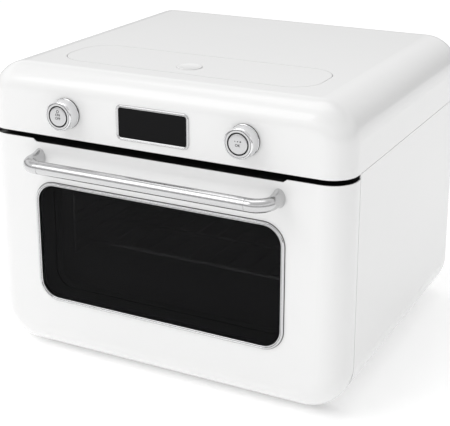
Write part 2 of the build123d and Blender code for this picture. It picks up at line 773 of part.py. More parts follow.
def make_encoder(side):
    """The turn sensor behind a knob, with the sleeve that the knob runs on."""
    x = side * knob_x
    front = sheet + 2.5
    encoder = block((x - 13, x + 13), (front, board_y), (knob_z - 13, knob_z + 13))
    encoder += rod_y(x, knob_z, sleeve_radius, (-knob_reach + 4.5, front + 1))
    depth = board_y - 12 + button_travel + 1
    return encoder - rod_y(x, knob_z, stem_radius + running_gap, (-knob_reach, depth))


def make_display_bezel():
    bezel = upright_plate((-display_half_width, display_half_width), (display_low, display_high),
                          display_radius, (-bezel_height, 0))
    bezel = fillet(bezel.faces().sort_by(Axis.Y)[0].edges(), bezel_height * 0.4)
    return bezel - upright_plate((-display_half_width + bezel_width, display_half_width - bezel_width),
                                 (display_low + bezel_width, display_high - bezel_width),
                                 display_radius - bezel_width + 1, (-bezel_height - 1, 1))


def make_display_window():
    """The dark glass of the display, let into the fascia behind the bezel."""
    inset = 1.5 + fit_gap
    return upright_plate((-display_half_width + inset, display_half_width - inset),
                         (display_low + inset, display_high - inset), display_radius - inset, (0, sheet + 1.5))


def make_display_module():
    inset = 3.0
    return block((-display_half_width + inset, display_half_width - inset), (sheet + 1.5, board_y),
                 (display_low + inset, display_high - inset))


def make_control_board():
    return block((-board_half_width, board_half_width), (board_y, board_y + board_thickness),
                 (display_low - 4, display_high - 2))


# Water tank, in its bay under the lid

def make_tank_bay():
    """The tub under the cover, with rests for the lid and lugs for its hinge rod."""
    x = (-bay_half_width, bay_half_width)
    rows = (bay_front, bay_back)
    low = bay_floor - bay_wall
    bay = level_plate(x, rows, 12, (low, cover_under))
    bay -= level_plate(grown(x, -bay_wall), grown(rows, -bay_wall), 12 - bay_wall, (bay_floor, cover_under + 1))
    for side in (-1, 1):
        rest = sorted((side * (lid_half_width * 0.6 - 10), side * (lid_half_width * 0.6 + 10)))
        bay += block(rest, (bay_front + 0.5, lid_front + 6),
                     (body_height - lid_thickness - 4, body_height - lid_thickness - 0.05))
        for edge in (-1, 1):
            middle = side * lid_arm_x + edge * (lid_arm_width / 2 + 3)
            bay += block((middle - 2, middle + 2), (lid_axis_y - 4, bay_back - 0.5),
                         (lid_axis_z - 4, lid_axis_z + 3))
    bay -= rod_x(lid_axis_y, lid_axis_z, lid_rod_radius, (-lid_arm_x - 20, lid_arm_x + 20))
    bay -= rod_z(port_x, port_y, hose_radius + 0.05, (low - 1, bay_floor + 1))
    return bay


port_x = pump_x + 22.5
port_y = lid_back - 22


def make_water_tank():
    """The clear tank that lifts out, with a rim round its open top."""
    x = (-lid_half_width + 9, lid_half_width - 9)
    rows = (lid_front + 5, lid_back - 10)
    z = (bay_floor, bay_floor + tank_height)
    tank = level_plate(x, rows, lid_radius - 16, z)
    tank += level_plate(grown(x, 2), grown(rows, 2), lid_radius - 14, (z[1] - 2, z[1]))
    return tank - level_plate(grown(x, -tank_wall), grown(rows, -tank_wall), lid_radius - 16 - tank_wall,
                              (z[0] + tank_wall, z[1] + 1))


def make_tank_lid():
    """The flush lid, with an edge cut back below, two hinge arms and the button's guide."""
    top = body_height
    low = top - lid_thickness
    x = (-lid_half_width + lid_gap, lid_half_width - lid_gap)
    rows = (lid_front + lid_gap, lid_back - lid_gap)
    lid = level_plate(x, rows, lid_radius - lid_gap, (low, top))
    lid = chamfer(lid.faces().sort_by(Axis.Z)[0].edges(), lid_thickness - lid_edge)
    lid -= rod_z(0, lid_button_y, lid_button_radius + 0.4, (low - 1, top + 1))
    guide = rod_z(0, lid_button_y, lid_button_radius + 5, (low - 6, low + 0.5))
    guide -= rod_z(0, lid_button_y, lid_button_radius + 3, (low - 5, low + 1))
    guide -= rod_z(0, lid_button_y, 3.3, (low - 7, low))
    lid += guide
    for side in (-1, 1):
        width = sorted((side * lid_arm_x - lid_arm_width / 2, side * lid_arm_x + lid_arm_width / 2))
        arm = rod_x(lid_axis_y, lid_axis_z, lid_arm_outer, width)
        arm -= rod_x(lid_axis_y, lid_axis_z, lid_arm_inner, (width[0] - 1, width[1] + 1))
        arm -= block((width[0] - 1, width[1] + 1), (lid_axis_y + lid_boss_radius, lid_axis_y + 20),
                     (lid_axis_z - 20, lid_axis_z + 20))
        arm -= block((width[0] - 1, width[1] + 1), (lid_axis_y - 20, lid_axis_y + 20),
                     (low + 0.5, lid_axis_z + 20))
        arm += block(width, (lid_axis_y - 1.6, lid_axis_y + 1.6), (lid_axis_z - lid_arm_inner - 1, lid_axis_z))
        arm += rod_x(lid_axis_y, lid_axis_z, lid_boss_radius, width)
        lid += arm
        lid -= rod_x(lid_axis_y, lid_axis_z, lid_rod_radius + running_gap, (width[0] - 1, width[1] + 1))
    return lid


def make_lid_hinge_rod():
    end = lid_arm_x + lid_arm_width / 2 + 6
    return rod_x(lid_axis_y, lid_axis_z, lid_rod_radius, (-end, end))


def make_lid_button():
    """The round button that opens the lid, held below by a wider flange."""
    top = body_height
    low = top - lid_thickness
    button = rod_z(0, lid_button_y, lid_button_radius, (low - 1, top + lid_button_rise))
    button = fillet(button.faces().sort_by(Axis.Z)[-1].edges(), 0.6)
    button += rod_z(0, lid_button_y, lid_button_radius + 2, (low - 2, low - 0.1))
    return button + rod_z(0, lid_button_y, 3, (low - 8, low - 1))


# Deck and the parts on it

def make_deck_plate():
    """The plate between the hot cavity and the parts above it."""
    slab = block(across, (casing_front + frame_sheet, inner_back - panel_sheet - 1), (deck_z, deck_top))
    deck = fitted_form & slab
    deck -= rod_z(steam_inlet[0], steam_inlet[1], hose_radius + 0.5, (deck_z - 1, deck_top + 1))
    return deck


def make_blower_housing():
    """The scroll of the cooling fan: a drum with an eye in its top and an outlet to the front."""
    z = (deck_top, deck_top + blower_height)
    outlet_x = (blower_x, blower_x + blower_radius)
    outlet_y = (blower_outlet, blower_y)
    drum = rod_z(blower_x, blower_y, blower_radius, z) + block(outlet_x, outlet_y, z)
    hollow = (z[0] + 1.5, z[1] - 1.5)
    drum -= rod_z(blower_x, blower_y, blower_radius - 1.5, hollow)
    drum -= block((outlet_x[0] + 1.5, outlet_x[1] - 1.5), (outlet_y[0] - 1, outlet_y[1]), hollow)
    drum -= rod_z(blower_x, blower_y, wheel_radius - 12, (z[1] - 3, z[1] + 1))
    drum += rod_z(blower_x, blower_y, 9, (z[0] + 1, z[0] + 4))
    return drum - rod_z(blower_x, blower_y, wheel_shaft_radius + running_gap, (z[0] + 0.8, z[0] + 5))


def make_blower_wheel():
    """The cooling fan's wheel: a ring of blades on a disc, with its hub and shaft."""
    low = deck_top + 5
    z = (low, low + wheel_height)
    blades = 20
    wheel = rod_z(blower_x, blower_y, wheel_radius, (z[0], z[0] + 1.2))
    wheel += rod_z(blower_x, blower_y, 12, (z[0], z[0] + 14))
    for index in range(blades):
        blade = block((wheel_radius - 9.5, wheel_radius - 0.8), (-0.6, 0.6), (z[0], z[1] - 0.5))
        wheel += Pos(blower_x, blower_y, 0) * Rot(0, 0, 360 / blades * index) * blade
    rim = rod_z(blower_x, blower_y, wheel_radius, (z[1] - 2, z[1]))
    wheel += rim - rod_z(blower_x, blower_y, wheel_radius - 10, (z[1] - 3, z[1] + 1))
    return wheel + rod_z(blower_x, blower_y, wheel_shaft_radius, (deck_top + 1, z[0] + 1))


steamer_height = 50.0
steamer_half = 32.0


def make_steam_generator():
    """The small boiler: a flanged block with a water port and a steam port."""
    x = (steamer_x - steamer_half, steamer_x + steamer_half)
    rows = (steamer_y - 26, steamer_y + 26)
    z = (deck_top + 4, deck_top + 4 + steamer_height)
    boiler = block(x, rows, z)
    boiler = fillet(boiler.edges().filter_by(Axis.Z), 10)
    boiler += level_plate(grown(x, 5), grown(rows, 5), 12, (z[0] + 28, z[0] + 32))
    for side in (-1, 1):
        boiler += rod_z(steamer_x + side * 20, steamer_y, 5, (deck_top, z[0] + 1))
    return boiler


def make_steam_pipe():
    """The pipe from the boiler's front down through the cavity's roof."""
    z = deck_top + 4 + steamer_height / 2 + 14
    points = [(steamer_x, steamer_y - 26, z), (steamer_x, steam_inlet[1], z),
              (steamer_x, steam_inlet[1], cavity_high - 3)]
    return tube_path(points, 14, hose_radius, hose_bore)


def make_water_pump():
    """The pump, lying across the deck in a saddle."""
    z = deck_top + pump_radius + 4
    x = (pump_x - pump_length / 2, pump_x + pump_length / 2)
    pump = rod_x(pump_y, z, pump_radius, x)
    pump += rod_x(pump_y, z, hose_radius, (x[0] - 8, x[1] + 8))
    saddle = block((pump_x - 22, pump_x + 22), (pump_y - 14, pump_y + 14), (deck_top, z - pump_radius + 3))
    return pump + saddle


def make_water_hoses():
    """One hose from the bay to the pump, and one from the pump to the boiler."""
    pump_z = deck_top + pump_radius + 4
    left = pump_x - pump_length / 2 - 8
    right = pump_x + pump_length / 2 + 8
    fall = bay_floor - bay_wall
    feed = [(port_x, port_y, bay_floor), (port_x, port_y, fall - 14), (port_x + 30, port_y + 20, pump_z),
            (right + 22, pump_y - 28, pump_z), (right + 20, pump_y, pump_z), (right, pump_y, pump_z)]
    reach = steamer_y - 26
    bend_y = (reach - 34 + pump_y) / 2 + 17.5
    onward = [(left, pump_y, pump_z), (left - 26, pump_y, pump_z), (left - 26, bend_y, pump_z),
              (steamer_x - 20, reach - 34, pump_z), (steamer_x - 20, reach, pump_z)]
    return Compound([tube_path(feed, 9, hose_radius, hose_bore),
                     tube_path(onward, 9, hose_radius, hose_bore)])


supply_x = (half_width - 179.5, half_width - 49.5)
supply_y = (body_depth - 225, body_depth - 95)


def make_power_board():
    """The supply board on four pillars."""
    z = deck_top + 8
    board = block(supply_x, supply_y, (z, z + board_thickness))
    for x in grown(supply_x, -6):
        for y in grown(supply_y, -6):
            board += rod_z(x, y, 3, (deck_top, z + 0.5))
    return board


def make_power_components():
    """The transformer, the relays and the capacitors on the supply board."""
    z = deck_top + 8 + board_thickness
    x, y = supply_x[0], supply_y[0]
    pieces = [block((x + 14, x + 54), (y + 16, y + 50), (z, z + 30))]
    for index in range(4):
        pieces.append(block((x + 14 + index * 26, x + 34 + index * 26), (y + 62, y + 78), (z, z + 16)))
    for index in range(3):
        pieces.append(rod_z(x + 78 + index * 17, y + 30, 7, (z, z + 24)))
    pieces.append(block((x + 16, x + 110), (y + 96, y + 112), (z, z + 12)))
    return Compound(pieces)


nodes = {
    "casing": make_casing(),
    "top_cover": make_top_cover(),
    "rear_panel": make_rear_panel(),
    "base_pan": make_base_pan(),
    "feet": make_feet(),
    "cord_gland": make_cord_gland(),
    "rear_screws": make_rear_screws(),
    "front_frame": make_front_frame(),
    "cavity_liner": make_cavity_liner(),
    "insulation": make_insulation(),
    "cavity_rails": make_cavity_rails(),
    "door_gasket": make_door_gasket(),
    "fan_baffle": make_fan_baffle(),
    "ring_heater": make_ring_heater(),
    "grill_element": make_grill_element(),
    "convection_fan": make_convection_fan(),
    "fan_motor": make_fan_motor(),
    "shelf_rack_left": make_shelf_rack(-1),
    "shelf_rack_right": make_shelf_rack(1),
    "wire_shelf": make_wire_shelf(),
    "lamp_lens": make_lamp_lens(),
    "lamp_holder": make_lamp_holder(),
    "temperature_probe": make_temperature_probe(),
    "door_shell": make_door_shell(),
    "door_inner_panel": make_door_inner_panel(),
    "door_top_cap": make_door_top_cap(),
    "outer_glass": make_outer_glass(),
    "inner_glass": make_inner_glass(),
    "window_trim": make_window_trim(),
    "handle_bar": make_handle_bar(),
    "handle_ends": make_handle_ends(),
    "handle_screws": make_handle_screws(),
    "hinge_bracket_left": make_hinge_bracket(-1),
    "hinge_bracket_right": make_hinge_bracket(1),
    "hinge_pins": make_hinge_pins(),
    "knob_left": make_knob(-1),
    "knob_right": make_knob(1),
    "button_left": make_button(-1),
    "button_right": make_button(1),
    "encoder_left": make_encoder(-1),
    "encoder_right": make_encoder(1),
    "display_bezel": make_display_bezel(),
    "display_window": make_display_window(),
    "display_module": make_display_module(),
    "control_board": make_control_board(),
    "tank_bay": make_tank_bay(),
    "water_tank": make_water_tank(),
    "tank_lid": make_tank_lid(),
    "lid_hinge_rod": make_lid_hinge_rod(),
    "lid_button": make_lid_button(),
    "deck_plate": make_deck_plate(),
    "blower_housing": make_blower_housing(),
    "blower_wheel": make_blower_wheel(),
    "steam_generator": make_steam_generator(),
    "steam_pipe": make_steam_pipe(),
    "water_pump": make_water_pump(),
    "water_hoses": make_water_hoses(),
    "power_board": make_power_board(),
    "power_components": make_power_components(),
}

for name, shape in nodes.items():
    export_step(Pos(0, front_y, foot_height) * shape, f"parts/{name}.step")
print("door face at y", front_y, "underside at z", foot_height)
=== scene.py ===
"""Dresses a countertop steam oven: its enamel shells, bright trim, glass, wires and studio."""

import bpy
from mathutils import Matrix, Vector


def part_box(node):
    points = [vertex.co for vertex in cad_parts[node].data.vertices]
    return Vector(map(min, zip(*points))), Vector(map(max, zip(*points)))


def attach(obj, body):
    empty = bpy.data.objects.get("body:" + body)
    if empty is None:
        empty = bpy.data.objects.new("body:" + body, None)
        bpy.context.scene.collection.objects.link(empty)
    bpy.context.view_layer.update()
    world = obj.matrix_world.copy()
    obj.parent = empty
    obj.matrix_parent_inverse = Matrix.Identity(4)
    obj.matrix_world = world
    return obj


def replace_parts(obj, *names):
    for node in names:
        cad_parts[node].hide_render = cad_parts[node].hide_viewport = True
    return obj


bl_info = {
    "name": "Countertop Steam Oven",
    "version": (1, 0, 0),
    "blender": (4, 5, 0),
    "location": "View3D > Sidebar > Oven",
    "description": "Finishes a countertop steam oven around its working parts",
    "category": "Object",
}

import math

import bmesh
import bpy
import numpy as np
from bpy.props import FloatProperty, FloatVectorProperty, IntProperty, PointerProperty
from mathutils import Vector

# The working parts are loaded first, so that sizes and places can come from them
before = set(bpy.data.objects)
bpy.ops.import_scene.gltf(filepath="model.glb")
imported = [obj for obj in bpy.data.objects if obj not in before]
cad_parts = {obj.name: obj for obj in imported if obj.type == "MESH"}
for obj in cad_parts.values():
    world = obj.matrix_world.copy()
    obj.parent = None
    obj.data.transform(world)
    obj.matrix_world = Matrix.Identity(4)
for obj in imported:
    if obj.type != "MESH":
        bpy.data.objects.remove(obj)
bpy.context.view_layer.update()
MM = 0.001
MERGE_DISTANCE = 1e-7


def limits(node):
    """A node's lowest and highest corners, as two numpy rows in metres."""
    low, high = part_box(node)
    return np.array(low), np.array(high)


def centre_of(node):
    """The middle of a node's box."""
    low, high = limits(node)
    return (low + high) / 2


# Sizes and colours that a user would change

class OvenSizes(bpy.types.PropertyGroup):
    bar_radius: FloatProperty(name="Bar radius", description="Radius of the handle's bar",
                              default=8.25 * MM, unit="LENGTH")
    elbow_radius: FloatProperty(name="Elbow radius", description="Bend of the handle's ends",
                                default=20 * MM, unit="LENGTH")
    foot_width: FloatProperty(name="Post foot width", description="Width of a handle post at the door",
                              default=17 * MM, unit="LENGTH")
    foot_height: FloatProperty(name="Post foot height", description="Height of a handle post at the door",
                               default=24 * MM, unit="LENGTH")
    button_radius: FloatProperty(name="Button radius", description="Radius of the buttons in the knobs",
                                 default=12.1 * MM, unit="LENGTH")
    # The groove's dark ring is painted shade on the knob ring's inner faces
    groove: FloatProperty(name="Groove", description="Dark ring between a knob and its button",
                          default=1.1 * MM, unit="LENGTH")
    window_corner: FloatProperty(name="Window corner", description="Outer radius of the window's corners",
                                 default=28.5 * MM, unit="LENGTH")
    display_corner: FloatProperty(name="Display corner", description="Outer corner radius of the bezel",
                                  default=6.8 * MM, unit="LENGTH")
    steps: IntProperty(name="Steps", description="Points round a full turn of a round piece", default=96)


class OvenFinish(bpy.types.PropertyGroup):
    enamel: FloatVectorProperty(name="Enamel", description="Colour of the painted shells", subtype="COLOR",
                                size=3, default=(0.84, 0.84, 0.838))
    chrome: FloatVectorProperty(name="Chrome", description="Colour of polished trim", subtype="COLOR",
                                size=3, default=(0.82, 0.82, 0.83))
    satin: FloatVectorProperty(name="Satin chrome", description="Colour of the brushed faces",
                               subtype="COLOR", size=3, default=(0.6, 0.6, 0.605))
    glass: FloatVectorProperty(name="Smoked glass", description="Colour of the door's outer glass",
                               subtype="COLOR", size=3, default=(0.005, 0.005, 0.0054))
    floor: FloatVectorProperty(name="Floor", description="Colour of the studio floor", subtype="COLOR",
                               size=3, default=(0.95, 0.95, 0.95))


# Materials

def shader(name, colour, metallic=0.0, roughness=0.5, coat=0.0, **sockets):
    """A new material whose principled shader has the given plain values, with its node tree."""
    made = bpy.data.materials.new(name)
    made.use_nodes = True
    tree = made.node_tree
    surface = tree.nodes["Principled BSDF"]
    surface.inputs["Base Color"].default_value = (*colour, 1)
    surface.inputs["Metallic"].default_value = metallic
    surface.inputs["Roughness"].default_value = roughness
    surface.inputs["Coat Weight"].default_value = coat
    for socket, value in sockets.items():
        surface.inputs[socket.replace("_", " ")].default_value = value
    return made, tree, surface


def pattern(tree, scale, detail=2.0, stretch=(1, 1, 1)):
    """A noise on Object coordinates, stretched along the axes, as a factor output."""
    where = tree.nodes.new("ShaderNodeTexCoord")
    mapping = tree.nodes.new("ShaderNodeMapping")
    mapping.inputs["Scale"].default_value = stretch
    noise = tree.nodes.new("ShaderNodeTexNoise")
    noise.inputs["Scale"].default_value = scale
    noise.inputs["Detail"].default_value = detail
    tree.links.new(where.outputs["Object"], mapping.inputs["Vector"])
    tree.links.new(mapping.outputs["Vector"], noise.inputs["Vector"])
    return noise.outputs[0]


def raise_bump(tree, surface, height, strength, distance):
    """Runs a height through a bump into the shader's normal."""
    bump = tree.nodes.new("ShaderNodeBump")
    bump.inputs["Strength"].default_value = strength
    bump.inputs["Distance"].default_value = distance
    tree.links.new(height, bump.inputs["Height"])
    tree.links.new(bump.outputs["Normal"], surface.inputs["Normal"])


def vary(tree, surface, factor, socket, low, high):
    """Spreads a factor between two values into a roughness-like socket."""
    spread = tree.nodes.new("ShaderNodeMapRange")
    spread.inputs["To Min"].default_value = low
    spread.inputs["To Max"].default_value = high
    tree.links.new(factor, spread.inputs["Value"])
    tree.links.new(spread.outputs["Result"], surface.inputs[socket])


def tint(tree, surface, factor, first, second):
    """Mixes two colours by a factor into the base colour."""
    ramp = tree.nodes.new("ShaderNodeValToRGB")
    ramp.color_ramp.elements[0].position = 0.3
    ramp.color_ramp.elements[0].color = (*first, 1)
    ramp.color_ramp.elements[1].position = 0.7
    ramp.color_ramp.elements[1].color = (*second, 1)
    tree.links.new(factor, ramp.inputs["Fac"])
    tree.links.new(ramp.outputs["Color"], surface.inputs["Base Color"])


def shade(colour, factor):
    """A colour made darker or lighter by a factor, and held at full strength."""
    return tuple(min(1.0, c * factor) for c in colour)


def enamel(name, colour):
    """Gloss stove enamel: a clear coat over white, with the faint waviness of sprayed paint."""
    made, tree, surface = shader(name, colour, roughness=0.32, coat=0.6, Coat_Roughness=0.06,
                                 Coat_IOR=1.45)
    tint(tree, surface, pattern(tree, 3.0), shade(colour, 0.992), shade(colour, 1.008))
    vary(tree, surface, pattern(tree, 18.0, 3.0), "Roughness", 0.29, 0.35)
    raise_bump(tree, surface, pattern(tree, 190.0, 1.0), 0.03, 0.0002)
    return made


def polished(name, colour, roughness=0.09):
    """Bright chrome plate, with a very fine ripple and faint wipe marks."""
    made, tree, surface = shader(name, colour, metallic=1.0, roughness=roughness)
    vary(tree, surface, pattern(tree, 60.0, 4.0), "Roughness", roughness * 0.8, roughness * 1.3)
    raise_bump(tree, surface, pattern(tree, 420.0, 1.0), 0.02, 0.0001)
    return made


def brushed(name, colour, roughness, stretch, grain=420.0):
    """Brushed or rolled metal: fine lines drawn out along one axis, in tint, gloss and height."""
    made, tree, surface = shader(name, colour, metallic=1.0, roughness=roughness)
    lines = pattern(tree, grain, 3.0, stretch)
    tint(tree, surface, lines, shade(colour, 0.9), shade(colour, 1.08))
    vary(tree, surface, lines, "Roughness", roughness * 0.8, roughness * 1.25)
    raise_bump(tree, surface, lines, 0.12, 0.0001)
    return made


def spun(name, colour, roughness, centre_x, centre_z):
    """A faced knob front: rings about the knob's axis, from a wave on centred Object coordinates."""
    made, tree, surface = shader(name, colour, metallic=1.0, roughness=roughness, Anisotropic=0.4)
    where = tree.nodes.new("ShaderNodeTexCoord")
    mapping = tree.nodes.new("ShaderNodeMapping")
    mapping.inputs["Location"].default_value = (-centre_x, 0, -centre_z)
    wave = tree.nodes.new("ShaderNodeTexWave")
    wave.wave_type = "RINGS"
    wave.rings_direction = "Y"
    wave.inputs["Scale"].default_value = 900.0
    wave.inputs["Distortion"].default_value = 1.5
    wave.inputs["Detail"].default_value = 2.0
    tree.links.new(where.outputs["Object"], mapping.inputs["Vector"])
    tree.links.new(mapping.outputs["Vector"], wave.inputs["Vector"])
    tint(tree, surface, wave.outputs["Fac"], shade(colour, 0.93), shade(colour, 1.05))
    raise_bump(tree, surface, wave.outputs["Fac"], 0.08, 0.00005)
    return made


def moulded(name, colour, roughness=0.55, grain=900.0):
    """Moulded plastic, ceramic, laminate or matt paint: a fine grain in tint, gloss and height."""
    made, tree, surface = shader(name, colour, roughness=roughness)
    grained = pattern(tree, grain, 3.0)
    tint(tree, surface, grained, shade(colour, 0.85), shade(colour, 1.15))
    vary(tree, surface, grained, "Roughness", roughness * 0.85, min(1.0, roughness * 1.15))
    raise_bump(tree, surface, grained, 0.15, 0.0001)
    return made


def rubbery(name, colour):
    """Silicone or rubber: dull, with a bloom of lighter dust."""
    made, tree, surface = shader(name, colour, roughness=0.75, Specular_IOR_Level=0.3)
    dust = pattern(tree, 140.0, 6.0)
    tint(tree, surface, dust, colour, shade(colour, 1.5))
    raise_bump(tree, surface, dust, 0.2, 0.0002)
    return made


def glazed(name, colour, see_through, roughness=0.02, gloss=0.5):
    """Flat glass or clear plastic, with a share of clear transmission."""
    made, tree, surface = shader(name, colour, roughness=roughness, Transmission_Weight=see_through,
                                 IOR=1.5, Specular_IOR_Level=gloss)
    vary(tree, surface, pattern(tree, 8.0), "Roughness", roughness * 0.6, roughness * 1.6)
    return made


def smoked(name, colour):
    """The oven door's dark coated glass: partly clear, so that the racks show faintly."""
    made, tree, surface = shader(name, colour, roughness=0.03, IOR=1.5, Specular_IOR_Level=0.05,
                                 Alpha=0.64)
    vary(tree, surface, pattern(tree, 9.0), "Roughness", 0.02, 0.045)
    return made


def fibrous(name, colour):
    """Mineral fibre blanket: matted strands in tint and height."""
    made, tree, surface = shader(name, colour, roughness=0.95, Sheen_Weight=0.3)
    strands = pattern(tree, 260.0, 8.0, (1, 0.25, 1))
    tint(tree, surface, strands, shade(colour, 0.75), shade(colour, 1.15))
    raise_bump(tree, surface, strands, 0.8, 0.001)
    return made


def heat_darkened(name, colour):
    """Sheathed heater rod: steel browned in bands by heat."""
    made, tree, surface = shader(name, colour, metallic=0.9, roughness=0.5)
    bands = pattern(tree, 35.0, 4.0)
    tint(tree, surface, bands, colour, (colour[0] * 1.7, colour[1] * 1.35, colour[2]))
    raise_bump(tree, surface, pattern(tree, 500.0), 0.1, 0.0001)
    return made


# Surfaces worked out with numpy

def put(name, points, faces, materials, body, bands=None):
    """Makes a mesh object from arrays, gives it its finish and rides it on a body."""
    mesh = bpy.data.meshes.new(name)
    mesh.from_pydata(np.asarray(points).reshape(-1, 3).tolist(), [], faces)
    for material in materials if isinstance(materials, (list, tuple)) else [materials]:
        mesh.materials.append(material)
    mesh.polygons.foreach_set("use_smooth", np.ones(len(faces), bool))
    if bands is not None:
        mesh.polygons.foreach_set("material_index", np.asarray(bands, dtype=np.int32))
    mesh.update()
    piece = bpy.data.objects.new(name, mesh)
    bpy.context.scene.collection.objects.link(piece)
    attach(piece, body)
    return piece


def grid_faces(rows, columns, close_rows=False, close_columns=False):
    """Quads over a grid of points, joined round either way when it is closed."""
    r = np.arange(rows if close_rows else rows - 1)
    c = np.arange(columns if close_columns else columns - 1)
    r, c = np.meshgrid(r, c, indexing="ij")
    next_r, next_c = (r + 1) % rows, (c + 1) % columns
    quads = np.stack([r * columns + c, r * columns + next_c,
                      next_r * columns + next_c, next_r * columns + c], -1)
    return quads.reshape(-1, 4).tolist()


def outward(piece):
    """Merges a closed piece's doubled points and turns its faces to point out."""
    work = bmesh.new()
    work.from_mesh(piece.data)
    bmesh.ops.remove_doubles(work, verts=work.verts, dist=MERGE_DISTANCE)
    bmesh.ops.recalc_face_normals(work, faces=work.faces)
    work.to_mesh(piece.data)
    work.free()
    return piece


def creased(piece, degrees=35):
    """Smooth shading that breaks at edges sharper than the angle."""
    piece.data.set_sharp_from_angle(angle=math.radians(degrees))
    return piece


def turned_shape(profile, centre, axis, steps, closed=False):
    """A profile of (radius, height) carried once round an axis: radius times the cosine and sine."""
    profile = np.asarray(profile, float)
    angle = np.linspace(0, 2 * np.pi, steps, endpoint=False)
    radius, height = profile[:, 0][:, None], profile[:, 1][:, None] * np.ones(steps)
    one, two = radius * np.cos(angle), radius * np.sin(angle)
    order = {"x": (height, one, two), "y": (one, height, two), "z": (one, two, height)}[axis]
    points = np.stack(order, -1) + np.array(centre)
    return points.reshape(-1, 3), grid_faces(len(profile), steps, close_rows=closed, close_columns=True)


def turned(name, profile, centre, axis, materials, body, steps, closed=False, bands=None):
    """One turned piece, with a material number for each band of its profile where bands is given."""
    points, faces = turned_shape(profile, centre, axis, steps, closed)
    spread = None if bands is None else np.repeat(bands, steps)
    return creased(outward(put(name, points, faces, materials, body, spread)))


def rounded_loop(half_width, low, high, radius, steps=14):
    """Points (x, z) and outward normals of a rounded rectangle, corner by corner."""
    corners = [(half_width - radius, high - radius, 0), (-half_width + radius, high - radius, 90),
               (-half_width + radius, low + radius, 180), (half_width - radius, low + radius, 270)]
    angles = np.radians(np.concatenate([np.linspace(start, start + 90, steps) for _, _, start in corners]))
    centres = np.repeat([(x, z) for x, z, _ in corners], steps, axis=0)
    normals = np.stack([np.cos(angles), np.sin(angles)], -1)
    return centres + radius * normals, normals


def framed(name, loop, normals, profile, material, body):
    """A closed section of (outward, y) points carried round a loop in the x-z plane."""
    profile = np.asarray(profile)
    flat = loop[None] + normals[None] * profile[:, 0][:, None, None]
    y = np.broadcast_to(profile[:, 1][:, None], flat.shape[:2])
    points = np.stack([flat[..., 0], y, flat[..., 1]], -1)
    faces = grid_faces(len(profile), len(loop), close_rows=True, close_columns=True)
    return creased(outward(put(name, points, faces, material, body)), degrees=50)


def swept(points_along, tangents, radii_a, radii_b, up, sides):
    """Ellipses set square to a path: radii_a across it and radii_b along the up direction."""
    across = np.cross(tangents, up)
    across /= np.linalg.norm(across, axis=1)[:, None]
    angle = np.linspace(0, 2 * np.pi, sides, endpoint=False)
    ring = (across[:, None] * (radii_a[:, None] * np.cos(angle))[..., None]
            + np.array(up)[None, None] * (radii_b[:, None] * np.sin(angle))[..., None])
    return points_along[:, None] + ring


def capped(points, faces, rings, sides, centres):
    """Closes each end of a swept tube with a fan of triangles about that end's centre."""
    points = points.reshape(-1, 3)
    first_centre, last_centre = len(points), len(points) + 1
    last_ring = (rings - 1) * sides
    first = [[first_centre, (i + 1) % sides, i] for i in range(sides)]
    last = [[last_centre, last_ring + i, last_ring + (i + 1) % sides] for i in range(sides)]
    return np.concatenate([points, centres]), faces + first + last


def gather(name, parts, material, body):
    """Several (points, faces) shapes as one piece."""
    points, faces, count = [], [], 0
    for shape_points, shape_faces in parts:
        points.append(np.asarray(shape_points).reshape(-1, 3))
        faces.extend([[i + count for i in face] for face in shape_faces])
        count += len(points[-1])
    return creased(outward(put(name, np.concatenate(points), faces, material, body)))


def finish_of(context):
    """The colours set in the scene."""
    return context.scene.oven_finish


def sizes_of(context):
    """The sizes set in the scene."""
    return context.scene.oven_sizes


# Operators, one for each group of pieces

